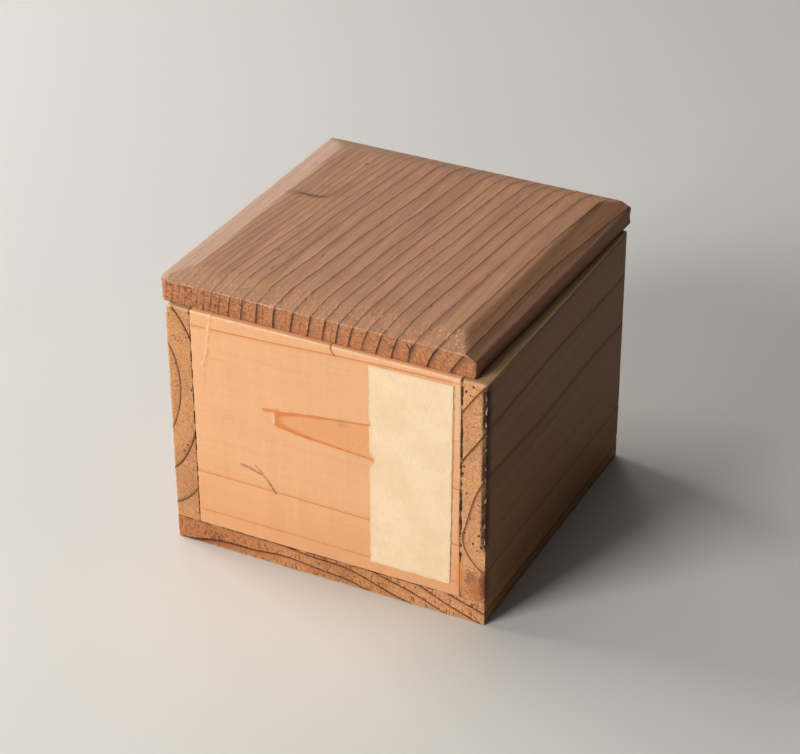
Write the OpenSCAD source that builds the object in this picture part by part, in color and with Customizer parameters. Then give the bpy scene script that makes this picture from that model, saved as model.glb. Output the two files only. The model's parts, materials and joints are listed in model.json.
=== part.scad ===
// Small wooden storage box for an incense container: four boards on a base, and a lid that lifts off.
// The origin is the middle of the underside. +X is right, +Y is to the back and +Z is up.

/* [Box] */
// Width of the box across its front
box_w = 100; // [80:0.5:150]
// Depth of the box from its front face to its back face
box_d = 98; // [80:0.5:150]
// Height of the box with its base board, without its lid
box_h = 79.2; // [55:0.2:130]
// Thickness of the two side walls, whose end grain shows at the front
wall_t = 7.8; // [6:0.1:11]
// Thickness of the front and back panels, which stand between the side walls
panel_t = 7.8; // [6:0.1:11]
// Thickness of the base board that the walls and panels stand on
base_t = 7.6; // [5:0.1:11]

/* [Lid board] */
// Height of the lid's square edge below its bevels
lid_edge_h = 6.8; // [4.5:0.1:10]
// Rise of the bevels from the square edge to the flat field
lid_rise = 2.3; // [1:0.1:4]
// Width of the bevels, seen from above
lid_bevel_w = 8.5; // [4:0.5:14]
// Width of the right-hand bevel, which was planed steeper
lid_right_bevel_w = 7.4; // [4:0.1:14]
// Depth that the right-hand bevel was planed below the others
lid_right_drop = 1.6; // [0:0.1:2.5]
// Reach of the lid past the middle of the box's left side
lid_reach_left = 2.4; // [-3:0.1:6]
// Reach of the lid past the middle of the box's right side, where it falls short of the wall
lid_reach_right = -2.7; // [-4:0.1:6]
// Reach of the lid past the box at the front, where it sits back from the panel
lid_reach_front = -1.6; // [-3:0.1:6]
// Reach of the lid past the box at the back
lid_reach_back = 5; // [-3:0.1:6]
// Lean of the lid's left edge in degrees, out of square, to the right going back
lid_lean_left = 1.1; // [-3:0.1:3]
// Lean of the lid's right edge in degrees, out of square, to the right going back
lid_lean_right = 1.9; // [-3:0.1:3]

/* [Lid battens] */
// Width of a batten, seen from below
batten_w = 8; // [6:0.5:12]
// Depth of a batten below the lid board
batten_h = 6; // [4:0.5:10]
// Chamfer on the lower outer edge of a batten, which leads the lid into the mouth
batten_chamfer = 1.2; // [0.4:0.1:2.4]
// Play between the frame of battens and the mouth, on each side
lid_play = 0.6; // [0.3:0.1:1.5]

/* [Wooden pegs] */
// Diameter of a peg
peg_d = 1.8; // [1.2:0.1:2.6]
// Clearance round a peg in its hole
peg_fit = 0.03; // [0.01:0.01:0.1]
// Depth that a peg grips in the board behind a wall, or above the base
peg_grip = 8.4; // [5:0.2:12]
// Depth that a batten's peg grips in the lid board
lid_peg_grip = 3.6; // [2:0.2:4]
// Height of the lower corner pegs above the base board
corner_peg_low = 4; // [3:0.5:12]
// Distance of the upper corner pegs below the top of the wall
corner_peg_high = 9; // [3:0.5:14]
// Distance of the base pegs from the ends of the wall or panel that they hold
base_peg_inset = 22; // [20:0.5:30]
// Distance of the batten pegs from the ends of the front and back battens
cross_peg_inset = 14; // [12:0.5:24]
// Distance of the batten pegs from the ends of the left and right battens
side_peg_inset = 12; // [4:0.5:20]

/* [Paper label] */
// Width of the label on the front panel
label_w = 26; // [15:0.2:40]
// Thickness of the label's paper
label_t = 0.2; // [0.1:0.05:0.4]
// Bare wood between the label and the right side wall
label_side_gap = 2.1; // [0.5:0.1:8]
// Bare wood between the label and the top of the front panel
label_top_gap = 2.4; // [0.5:0.1:8]
// Bare wood between the label and the base board
label_base_gap = 3.4; // [0.5:0.1:8]

/* [Hidden] */

left = -1;
right = 1;
front = -1;
back = 1;
sides = [left, right];
ends = [front, back];
round_steps = 48;
cut_past = 1;

mouth_w = box_w - 2 * wall_t;
mouth_d = box_d - 2 * panel_t;
wall_h = box_h - base_t;
wall_mid_x = (box_w - wall_t) / 2;
panel_mid_y = (box_d - panel_t) / 2;

lid_far = 2 * max(box_w, box_d);

frame_w = mouth_w - 2 * lid_play;
frame_d = mouth_d - 2 * lid_play;
cross_batten_y = (frame_d - batten_w) / 2;
side_batten_x = (frame_w - batten_w) / 2;
side_batten_l = frame_d - 2 * batten_w;
batten_under = box_h - batten_h;

corner_peg_heights = [base_t + corner_peg_low, box_h - corner_peg_high];
corner_peg_l = wall_t + peg_grip;
wall_peg_y = box_d / 2 - base_peg_inset;
panel_peg_x = mouth_w / 2 - base_peg_inset;
base_peg_l = base_t + peg_grip;
cross_peg_x = frame_w / 2 - cross_peg_inset;
side_peg_y = side_batten_l / 2 - side_peg_inset;
batten_peg_l = batten_h + lid_peg_grip;

lid_wood = [0.56, 0.36, 0.23];
wall_wood = [0.66, 0.44, 0.27];
panel_wood = [0.83, 0.56, 0.36];
base_wood = [0.60, 0.39, 0.23];
peg_wood = [0.36, 0.22, 0.13];
aged_paper = [0.86, 0.78, 0.62];

// A block that stands on height z, with its middle over the given point
module board(size, x, y, z) {
    translate([x - size[0] / 2, y - size[1] / 2, z])
        cube(size);
}

// One peg from the origin up, or its hole, which also runs past the peg's near end
module peg(length, hole) {
    wide = hole ? peg_d + 2 * peg_fit : peg_d;
    past = hole ? cut_past : 0;
    deep = hole ? peg_fit : 0;
    color(peg_wood)
        translate([0, 0, -past])
            cylinder(d = wide, h = length + past + deep, $fn = round_steps);
}

// Pegs driven through a side wall into the end of the front or back panel
module corner_pegs(side, end, hole = false) {
    for (z = corner_peg_heights)
        translate([side * box_w / 2, end * panel_mid_y, z])
            rotate([0, -90 * side, 0])
                peg(corner_peg_l, hole);
}

// Pegs driven up through the base board into a side wall
module wall_base_pegs(side, hole = false) {
    for (end = ends)
        translate([side * wall_mid_x, end * wall_peg_y, 0])
            peg(base_peg_l, hole);
}

// Pegs driven up through the base board into the front or back panel
module panel_base_pegs(end, hole = false) {
    for (side = sides)
        translate([side * panel_peg_x, end * panel_mid_y, 0])
            peg(base_peg_l, hole);
}

// Pegs driven up through the front or back batten into the lid board
module cross_batten_pegs(end, hole = false) {
    for (side = sides)
        translate([side * cross_peg_x, end * cross_batten_y, batten_under])
            peg(batten_peg_l, hole);
}

// Pegs driven up through the left or right batten into the lid board
module side_batten_pegs(side, hole = false) {
    for (end = ends)
        translate([side * side_batten_x, end * side_peg_y, batten_under])
            peg(batten_peg_l, hole);
}

// All that lies inside one edge of the lid: its square face is the given distance away, under a bevel
module lid_side(direction, away, lean = 0, bevel_w = lid_bevel_w, drop = 0) {
    rotate([0, 0, direction])
        translate([away, 0, 0])
            rotate([90, 0, -lean])
                linear_extrude(height = 2 * lid_far, center = true)
                    polygon([
                        [-lid_far, 0],
                        [0, 0],
                        [0, lid_edge_h - drop],
                        [-bevel_w, lid_edge_h + lid_rise],
                        [-lid_far, lid_edge_h + lid_rise]
                    ]);
}

// The lid before its holes: what all four edges leave, on the top of the box
module lid_blank() {
    translate([0, 0, box_h])
        intersection() {
            lid_side(0, box_w / 2 + lid_reach_right, lid_lean_right, lid_right_bevel_w, lid_right_drop);
            lid_side(180, box_w / 2 + lid_reach_left, lid_lean_left);
            lid_side(90, box_d / 2 + lid_reach_back);
            lid_side(-90, box_d / 2 + lid_reach_front);
        }
}

// A batten along +Y whose outer face looks along +X, hanging below the origin
module batten(length) {
    rotate([90, 0, 0])
        linear_extrude(height = length, center = true)
            polygon([
                [-batten_w / 2, 0],
                [batten_w / 2, 0],
                [batten_w / 2, batten_chamfer - batten_h],
                [batten_w / 2 - batten_chamfer, -batten_h],
                [-batten_w / 2, -batten_h]
            ]);
}

// A side wall runs the whole depth of the box
module side_wall(side) {
    color(wall_wood)
        difference() {
            board([wall_t, box_d, wall_h], side * wall_mid_x, 0, base_t);
            for (end = ends)
                corner_pegs(side, end, true);
            wall_base_pegs(side, true);
        }
}

// A panel fills the space between the side walls
module end_panel(end) {
    color(panel_wood)
        difference() {
            board([mouth_w, panel_t, wall_h], 0, end * panel_mid_y, base_t);
            for (side = sides)
                corner_pegs(side, end, true);
            panel_base_pegs(end, true);
        }
}

// A front or back batten runs the whole width of the mouth, across the lid's grain
module cross_batten(end) {
    color(lid_wood)
        difference() {
            translate([0, end * cross_batten_y, box_h])
                rotate([0, 0, 90 * end])
                    batten(frame_w);
            cross_batten_pegs(end, true);
        }
}

// A left or right batten fits between the front and back ones
module side_batten(side) {
    color(lid_wood)
        difference() {
            translate([side * side_batten_x, 0, box_h])
                rotate([0, 0, side == left ? 180 : 0])
                    batten(side_batten_l);
            side_batten_pegs(side, true);
        }
}

module base_board() {
    color(base_wood)
        difference() {
            board([box_w, box_d, base_t], 0, 0, 0);
            for (side = sides)
                wall_base_pegs(side, true);
            for (end = ends)
                panel_base_pegs(end, true);
        }
}

module left_wall() {
    side_wall(left);
}

module right_wall() {
    side_wall(right);
}

module front_panel() {
    end_panel(front);
}

module back_panel() {
    end_panel(back);
}

module paper_label() {
    label_h = wall_h - label_top_gap - label_base_gap;
    label_x = (mouth_w - label_w) / 2 - label_side_gap;
    label_y = front * (box_d + label_t) / 2;
    color(aged_paper)
        board([label_w, label_t, label_h], label_x, label_y, base_t + label_base_gap);
}

module left_front_corner_pegs() {
    corner_pegs(left, front);
}

module left_back_corner_pegs() {
    corner_pegs(left, back);
}

module right_front_corner_pegs() {
    corner_pegs(right, front);
}

module right_back_corner_pegs() {
    corner_pegs(right, back);
}

module left_base_pegs() {
    wall_base_pegs(left);
}

module right_base_pegs() {
    wall_base_pegs(right);
}

module front_base_pegs() {
    panel_base_pegs(front);
}

module back_base_pegs() {
    panel_base_pegs(back);
}

module lid_board() {
    color(lid_wood)
        difference() {
            lid_blank();
            for (end = ends)
                cross_batten_pegs(end, true);
            for (side = sides)
                side_batten_pegs(side, true);
        }
}

module front_batten() {
    cross_batten(front);
}

module back_batten() {
    cross_batten(back);
}

module left_batten() {
    side_batten(left);
}

module right_batten() {
    side_batten(right);
}

module front_batten_pegs() {
    cross_batten_pegs(front);
}

module back_batten_pegs() {
    cross_batten_pegs(back);
}

module left_batten_pegs() {
    side_batten_pegs(left);
}

module right_batten_pegs() {
    side_batten_pegs(right);
}

base_board();
left_wall();
right_wall();
front_panel();
back_panel();
paper_label();
left_front_corner_pegs();
left_back_corner_pegs();
right_front_corner_pegs();
right_back_corner_pegs();
left_base_pegs();
right_base_pegs();
front_base_pegs();
back_base_pegs();
lid_board();
front_batten();
back_batten();
left_batten();
right_batten();
front_batten_pegs();
back_batten_pegs();
left_batten_pegs();
right_batten_pegs();
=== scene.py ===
# %% [markdown]
# # A small wooden storage box, dressed from its packed solids
# The box keeps one incense container. Four boards stand on a base, held by wooden pegs, and a bevelled lid
# on a frame of battens drops into the mouth. The packed solids give every place and size. This lesson
# remakes each board as a worn piece of timber, and gives it wood whose growth rings run through the board
# as they do in a tree.

# %% Load the packed solids
import itertools
import json
import math
from dataclasses import dataclass, replace

import bpy
import numpy as np
from mathutils import Matrix, Vector
from mathutils import noise as perlin


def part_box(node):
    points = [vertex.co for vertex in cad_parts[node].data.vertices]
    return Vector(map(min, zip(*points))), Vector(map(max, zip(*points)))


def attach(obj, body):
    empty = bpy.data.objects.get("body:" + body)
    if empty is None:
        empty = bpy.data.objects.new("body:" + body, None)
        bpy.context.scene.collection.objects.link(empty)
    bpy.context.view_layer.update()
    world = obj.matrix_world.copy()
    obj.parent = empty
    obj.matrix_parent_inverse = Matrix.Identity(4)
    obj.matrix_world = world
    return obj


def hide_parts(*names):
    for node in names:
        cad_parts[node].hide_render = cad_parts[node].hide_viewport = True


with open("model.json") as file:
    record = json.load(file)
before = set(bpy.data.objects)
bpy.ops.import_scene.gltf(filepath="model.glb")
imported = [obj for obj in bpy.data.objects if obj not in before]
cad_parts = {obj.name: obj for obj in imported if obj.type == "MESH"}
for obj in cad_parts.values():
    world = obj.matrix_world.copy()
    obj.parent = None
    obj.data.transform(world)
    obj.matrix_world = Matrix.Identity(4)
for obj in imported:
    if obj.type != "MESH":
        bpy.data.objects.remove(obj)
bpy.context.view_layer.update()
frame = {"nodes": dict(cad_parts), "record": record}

MM = 0.001

# %% [markdown]
# ## The camera
# The picture was taken from the front right, a little above, with a long lens. The angles, the distance and
# the offsets were worked out from the box's corners. A camera can be aimed with a constraint, but three
# written axes also carry the small roll, and they stay put when the scene changes.

# %% Camera
IMAGE_WIDTH = 800
SENSOR_WIDTH = 36.0
FOCAL_PIXELS = 2482
CAMERA_AZIMUTH = math.radians(26.72)
CAMERA_ELEVATION = math.radians(31.41)
CAMERA_ROLL = math.radians(-0.26)
CAMERA_DISTANCE = 756.5 * MM
CAMERA_SIDEWAYS = -0.88 * MM
CAMERA_UPWARDS = 35.77 * MM


def add_camera():
    flat, height = math.cos(CAMERA_ELEVATION), math.sin(CAMERA_ELEVATION)
    toward = Vector((math.sin(CAMERA_AZIMUTH) * flat, -math.cos(CAMERA_AZIMUTH) * flat, height))
    level = Vector((math.cos(CAMERA_AZIMUTH), math.sin(CAMERA_AZIMUTH), 0))
    upright = toward.cross(level)
    side = math.cos(CAMERA_ROLL) * level + math.sin(CAMERA_ROLL) * upright
    top = math.cos(CAMERA_ROLL) * upright - math.sin(CAMERA_ROLL) * level
    place = toward * CAMERA_DISTANCE + side * CAMERA_SIDEWAYS + top * CAMERA_UPWARDS
    data = bpy.data.cameras.new("camera")
    data.sensor_fit = "HORIZONTAL"
    data.sensor_width = SENSOR_WIDTH
    data.lens = FOCAL_PIXELS * SENSOR_WIDTH / IMAGE_WIDTH
    camera = bpy.data.objects.new("camera", data)
    bpy.context.scene.collection.objects.link(camera)
    turn = Matrix((side, top, toward)).transposed().to_4x4()
    camera.matrix_world = Matrix.Translation(place) @ turn
    bpy.context.scene.camera = camera
    return camera


camera = add_camera()
print("lens", round(camera.data.lens, 1), "mm")

# %% [markdown]
# ## Maths that works on numbers and on shader sockets
# A growth ring is needed twice: the material draws it, and the mesh is worn along it. If both use one
# formula, the drawn line and the carved groove always meet. So a small class wraps a shader socket and
# overloads the operators, and each function below takes either a wire or an array of numbers.

# %% Wires
class Wire:
    """One value in a material's node tree."""

    def __init__(self, finish, socket):
        self.finish = finish
        self.socket = socket

    def math(self, operation, *others):
        return self.finish.maths(operation, self, *others)

    def __add__(self, other):
        return self.math("ADD", other)

    def __radd__(self, other):
        return self.finish.maths("ADD", other, self)

    def __sub__(self, other):
        return self.math("SUBTRACT", other)

    def __rsub__(self, other):
        return self.finish.maths("SUBTRACT", other, self)

    def __mul__(self, other):
        return self.math("MULTIPLY", other)

    def __rmul__(self, other):
        return self.finish.maths("MULTIPLY", other, self)

    def __truediv__(self, other):
        return self.math("DIVIDE", other)

    def __pow__(self, other):
        return self.math("POWER", other)


def sine(value):
    return value.math("SINE") if isinstance(value, Wire) else np.sin(value)


def root(value):
    return value.math("SQRT") if isinstance(value, Wire) else np.sqrt(value)


def fraction(value):
    return value.math("FRACT") if isinstance(value, Wire) else value - np.floor(value)


def least(value, limit):
    return value.math("MINIMUM", limit) if isinstance(value, Wire) else np.minimum(value, limit)


def decay(value):
    """1 at zero, fading quickly to nothing."""
    return (0 - value).math("EXPONENT") if isinstance(value, Wire) else np.exp(-value)


def rise(value, start, end):
    """0 before start, 1 after end, and a smooth climb between them."""
    if isinstance(value, Wire):
        settings = {"interpolation_type": "SMOOTHSTEP"}
        sockets = {"Value": value, "From Min": start, "From Max": end}
        return value.finish.add("ShaderNodeMapRange", settings, sockets)
    step = np.clip((value - start) / (end - start), 0, 1)
    return step * step * (3 - 2 * step)


print("a quarter of the way up, a rise has reached", rise(0.25, 0, 1))

# %% Finishes
class Finish:
    """A material, with one method for maths and one for any other node."""

    def __init__(self, name):
        self.material = bpy.data.materials.new(name)
        self.material.use_nodes = True
        self.tree = self.material.node_tree
        self.shader = self.tree.nodes["Principled BSDF"]

    def plug(self, socket, value):
        if isinstance(value, Wire):
            self.tree.links.new(value.socket, socket)
        else:
            socket.default_value = value

    def add(self, kind, settings=None, sockets=None, output=0):
        node = self.tree.nodes.new(kind)
        for key, value in (settings or {}).items():
            setattr(node, key, value)
        for key, value in (sockets or {}).items():
            self.plug(node.inputs[key], value)
        return Wire(self, node.outputs[output])

    def maths(self, operation, *values):
        return self.add("ShaderNodeMath", {"operation": operation}, dict(enumerate(values)))

    def blend(self, factor, first, second):
        """A colour between first and second."""
        factor_socket, first_socket, second_socket, colour_output = 0, 6, 7, 2
        sockets = {factor_socket: factor, first_socket: first, second_socket: second}
        return self.add("ShaderNodeMix", {"data_type": "RGBA", "clamp_factor": True}, sockets, colour_output)

    def shade(self, colour, factor):
        """The colour, lighter or darker by a factor."""
        return self.add("ShaderNodeVectorMath", {"operation": "SCALE"}, {"Vector": colour, "Scale": factor})

    def vector(self, x, y, z):
        return self.add("ShaderNodeCombineXYZ", None, {"X": x, "Y": y, "Z": z})

    def noise(self, vector, scale, detail=2.0, roughness=0.5):
        sockets = {"Vector": vector, "Scale": scale, "Detail": detail, "Roughness": roughness}
        return self.add("ShaderNodeTexNoise", None, sockets)

    def attribute(self, name):
        return self.add("ShaderNodeAttribute", {"attribute_name": name}, None, "Fac")

    def millimetres(self):
        """The object coordinates as three wires, in millimetres."""
        place = self.add("ShaderNodeTexCoord", None, None, "Object")
        scaled = self.add("ShaderNodeVectorMath", {"operation": "SCALE"}, {"Vector": place, "Scale": 1 / MM})
        split = self.tree.nodes.new("ShaderNodeSeparateXYZ")
        self.plug(split.inputs[0], scaled)
        return [Wire(self, output) for output in split.outputs]

    def bump(self, height, depth_mm):
        """A normal that makes a height of 1 look raised by the depth."""
        sockets = {"Height": height, "Distance": depth_mm * MM, "Strength": 1.0}
        return self.add("ShaderNodeBump", None, sockets)

    def output(self, name, value):
        self.plug(self.shader.inputs[name], value)


print("shader maths ready")

# %% [markdown]
# ## Where each board lay in its log
# On the front of the box, the end grain of the walls shows arcs, the panel shows an arrow and the lid shows
# upright lines that lean more and more to the right. All of these are the same thing: a board cut from a
# round log. So each board is given the place of the log's pith, and the ring formula does the rest, on
# every face at once.

# %% Logs
ALONG_X, ALONG_Y = 0, 1


@dataclass
class Log:
    """Where a board lay in its log, in millimetres. The pith runs along the grain.

    The ring is the distance between two dark lines, and first is the radius of the first one. The pith leans
    as it runs along, the rings wobble, and near the tight radius they crowd. Unevenness makes good and poor
    years. A knot swells the rings at one place, a curl bends them below a level, a fan lets some of them run
    out toward one end, and an oval log is stretched along the second axis across the grain.
    """
    grain: int
    pith: tuple
    ring: float
    first: float
    lean: tuple = (0.0, 0.0)
    wobble: float = 0.25
    tight: float = 1000.0
    unevenness: float = 0.0
    knot: tuple = ()
    curl: tuple = ()
    fan: tuple = ()
    oval: float = 1.0

    def axes(self):
        """The axis along the grain, and the two across it."""
        return (0, 2, 1) if self.grain == ALONG_X else (1, 0, 2)


GOOD_YEARS = 0.55
CROWDING = 8


def ring_count(log, place):
    """How many rings lie inside this place: whole numbers are the dark lines."""
    along, across, upward = (place[axis] for axis in log.axes())
    a = across - (log.lean[0] * along + log.pith[0])
    b = (upward - (log.lean[1] * along + log.pith[1])) / log.oval
    radius = root(a * a + b * b)
    radius = radius + log.wobble * sine(0.29 * a + 0.17 * b + 0.041 * along)
    radius = radius + log.wobble * sine(0.11 * a - 0.23 * b + 0.087 * along + 2.0)
    if log.knot:
        knot_along, knot_across, length, width, size = log.knot
        u, v = (along - knot_along) / length, (across - knot_across) / width
        radius = radius + size * decay(u * u + v * v)
    if log.curl:
        level, bend, most = log.curl
        drop = least(upward - level, 0.0)
        radius = radius + least(bend * drop * drop, most)
    count = (radius - log.first) / log.ring + (radius / log.tight) ** CROWDING
    if log.fan:
        start, end, share = log.fan
        count = count * (share + (1 - share) * rise(across, start, end))
    return count + log.unevenness * sine(GOOD_YEARS * count)


LOGS = {
    "lid_board": Log(
        ALONG_Y, (61.7, 78.2), 5.0, 19.7, (0.12, 0.13), 0.16,
        tight=87.0, unevenness=-0.4, knot=(15.0, -38.0, 6.0, 4.0, 1.0),
    ),
    "left_wall": Log(ALONG_Y, (-58.5, 53.4), 6.7, 12.9, (0.01, 0.012), 0.2, oval=1.65),
    "right_wall": Log(ALONG_Y, (132.48, 8.4), 8.3, 92.0, (0.01, 0.008), 0.2, curl=(30.5, 0.0535, 10.5)),
    "front_panel": Log(ALONG_X, (50.8, -28.6), 12.0, 20.93, (0.015, -0.0272), 0.12, tight=57.4),
    "back_panel": Log(ALONG_X, (30.0, 76.0), 8.6, 24.0, (-0.02, 0.031), 0.3),
    "base_board": Log(ALONG_Y, (-17.0, -139.8), 3.75, 143.85, (0.02, 0.004), 0.3, fan=(-50.0, -8.0, 0.45)),
    "front_batten": Log(ALONG_X, (120.0, -20.0), 3.1, 20.0, (0.01, 0.01)),
    "back_batten": Log(ALONG_X, (130.0, 10.0), 3.4, 20.0, (-0.01, 0.01)),
    "left_batten": Log(ALONG_Y, (-90.0, 100.0), 3.2, 20.0, (0.01, -0.01)),
    "right_batten": Log(ALONG_Y, (10.0, 120.0), 3.0, 20.0, (0.012, 0.01)),
}
print("boards with a place in a log:", len(LOGS))

# %% [markdown]
# ## Wood
# Within one ring the timber goes from pale early wood to dark late wood, and then starts afresh at a sharp
# edge. Saw-cut end grain is speckled and full of small pits; the long faces have fibres that follow the
# grain. The mesh tells the material where it is, with one number per point for end grain, worn arrises,
# torn fibres, dirty joints, rubbed places and clean inner faces. Some of these numbers carry painted light:
# painted shade in the torn notches and on the lid's right end, and a painted sheen on rubbed places.

# %% Colours of the boards
@dataclass
class Tones:
    """The colours of one board, linear, and how strongly each mark shows."""
    early: tuple
    late: tuple
    end_early: tuple
    end_late: tuple
    grime: tuple
    arris: tuple
    inside: tuple
    band: float = 0.25
    band_start: float = 0.5
    line: float = 0.8
    end_line: float = 0.95
    line_start: float = 0.88
    line_grow: float = 0.0
    end_widen: float = 0.0
    ragged: float = 0.1
    fibre: float = 0.5
    streak: float = 0.5
    speckle: float = 0.8
    fleck: float = 0.0
    second: float = 0.0
    pits: float = 0.6
    pit_more: float = 0.0
    pit_large: float = 1.0
    pit_rise: float = 1.0
    pit_rows: float = 0.0
    dust: float = 0.3
    matte: float = 0.5
    relief: float = 0.1


FRESH = (0.62, 0.37, 0.19)
TONES = {
    "lid_board": Tones(
        (0.48, 0.244, 0.134), (0.12, 0.046, 0.026), (0.50, 0.206, 0.09), (0.05, 0.016, 0.01),
        (0.20, 0.082, 0.04), (0.86, 0.60, 0.42), FRESH, band=0.2, line=0.66, line_start=0.85, end_widen=0.06,
        ragged=0.14, fibre=0.7, streak=0.9, speckle=1.5, fleck=0.3, second=0.3, pits=0.9,
        dust=0.2, matte=0.48, relief=0.12,
    ),
    # The long faces of the walls are dark: partly aged wood, partly painted shade for the right side, which
    # faces away from the lamps.
    "wall": Tones(
        (0.28, 0.13, 0.054), (0.09, 0.034, 0.013), (0.63, 0.302, 0.126), (0.07, 0.018, 0.01),
        (0.24, 0.095, 0.04), (0.74, 0.46, 0.25), FRESH, band=0.14, end_line=1.0, line_start=0.87,
        ragged=0.05, fibre=0.4, streak=0.7, speckle=1.2, fleck=0.4, pits=1.0,
    ),
    "panel": Tones(
        (0.84, 0.462, 0.243), (0.70, 0.225, 0.06), (0.60, 0.31, 0.14), (0.16, 0.06, 0.025),
        (0.72, 0.35, 0.15), (0.95, 0.66, 0.43), FRESH, band=0.32, band_start=0.88, line=0.95,
        line_start=0.984, line_grow=0.022, ragged=0.012, fibre=0.14, streak=0.16, speckle=0.5, pits=0.25,
        dust=0.28, relief=0.035,
    ),
    "base_board": Tones(
        (0.36, 0.17, 0.07), (0.12, 0.045, 0.018), (0.62, 0.272, 0.105), (0.05, 0.012, 0.008),
        (0.16, 0.058, 0.024), (0.70, 0.40, 0.20), FRESH, band=0.30, end_line=1.0, line_start=0.80,
        ragged=0.16, streak=0.7, speckle=1.1, fleck=0.3, pit_more=0.07, pit_large=0.3, pit_rise=0.35,
        pit_rows=0.8, matte=0.52, relief=0.12,
    ),
    "batten": Tones(
        (0.56, 0.32, 0.165), (0.26, 0.12, 0.05), (0.44, 0.24, 0.11), (0.12, 0.05, 0.02),
        (0.36, 0.18, 0.08), (0.66, 0.42, 0.24), FRESH, band=0.3, line=0.6, line_start=0.8,
        ragged=0.15, fibre=0.4, pits=0.5, dust=0.25, relief=0.08,
    ),
}
# The right wall's end grain is a lighter copy of the walls' end grain: painted light, where the lamps reach
# it less.
TONES["right_wall"] = replace(TONES["wall"], end_early=(0.72, 0.362, 0.162))


def kind_of(node):
    """Walls, panels and battens share a set of colours with their like; a board with its own set keeps it."""
    for kind in ("wall", "panel", "batten"):
        if node not in TONES and node.endswith("_" + kind):
            return kind
    return node


print("sets of colours:", sorted(TONES))

# %% Stains
def opaque(colour):
    return (*colour, 1.0)


DIRT_AND_NOTCH_SHADE = opaque((0.045, 0.018, 0.01))
RUBBED_SHEEN_GREY = opaque((0.45, 0.36, 0.30))


@dataclass
class Stain:
    """A blot of colour: its middle and its reach along the three axes, in millimetres, and its strength.

    A stain that lies under is soaked into the end grain, and the dark lines of the rings stay clear above it.
    """
    middle: tuple
    reach: tuple
    strength: float
    colour: tuple
    under: bool = False


def stained(finish, colour, stain, place, speckle):
    """The colour with a ragged blot of the stain on it."""
    spans = [(axis - middle) / reach for axis, middle, reach in zip(place, stain.middle, stain.reach)]
    distance = root(spans[0] * spans[0] + spans[1] * spans[1] + spans[2] * spans[2])
    blot = (1 - rise(distance + 1.4 * speckle, 1.0, 1.8)) * stain.strength
    return finish.blend(blot, colour, opaque(stain.colour))


print("deep dirt is", DIRT_AND_NOTCH_SHADE)

# %% Rings and pits
def ring_marks(finish, log, tones, place, end, fibres):
    """How far a place lies into its ring, the dark line at the ring's end and the darker band before it."""
    count = ring_count(log, place) + tones.ragged * (fibres - 0.5)
    ring, number = fraction(count), count.math("FLOOR")
    chance = finish.add("ShaderNodeTexWhiteNoise", {"noise_dimensions": "1D"}, {"W": number})
    start = tones.line_start - tones.end_widen * end - tones.line_grow * (number + 1)
    line = rise(ring, start, 0.99) * (0.7 + 0.3 * chance)
    faint = rise(fraction(count + chance), 0.9, 0.99) * tones.second
    return ring, line.math("MAXIMUM", faint), rise(ring, tones.band_start, 1.0)


def pit_marks(finish, tones, spread, whole, ring):
    """Small dark pits in patches and, on some boards, in rows along the rings."""
    small = rise(finish.noise(spread, 1.7, 2.0, 0.55) + tones.pit_more, 0.64, 0.69)
    large = rise(finish.noise(spread, 0.85, 2.0, 0.55) + tones.pit_more, 0.66, 0.70) * tones.pit_large
    patch = rise(finish.noise(whole, 0.16, 2.0, 0.5) + 2 * tones.pit_more, 0.44, 0.58)
    return small.math("MAXIMUM", large) * patch * (1 - tones.pit_rows * rise(ring, 0.45, 0.7))


print("boards with faint second lines:", [name for name, tones in TONES.items() if tones.second])

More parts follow.
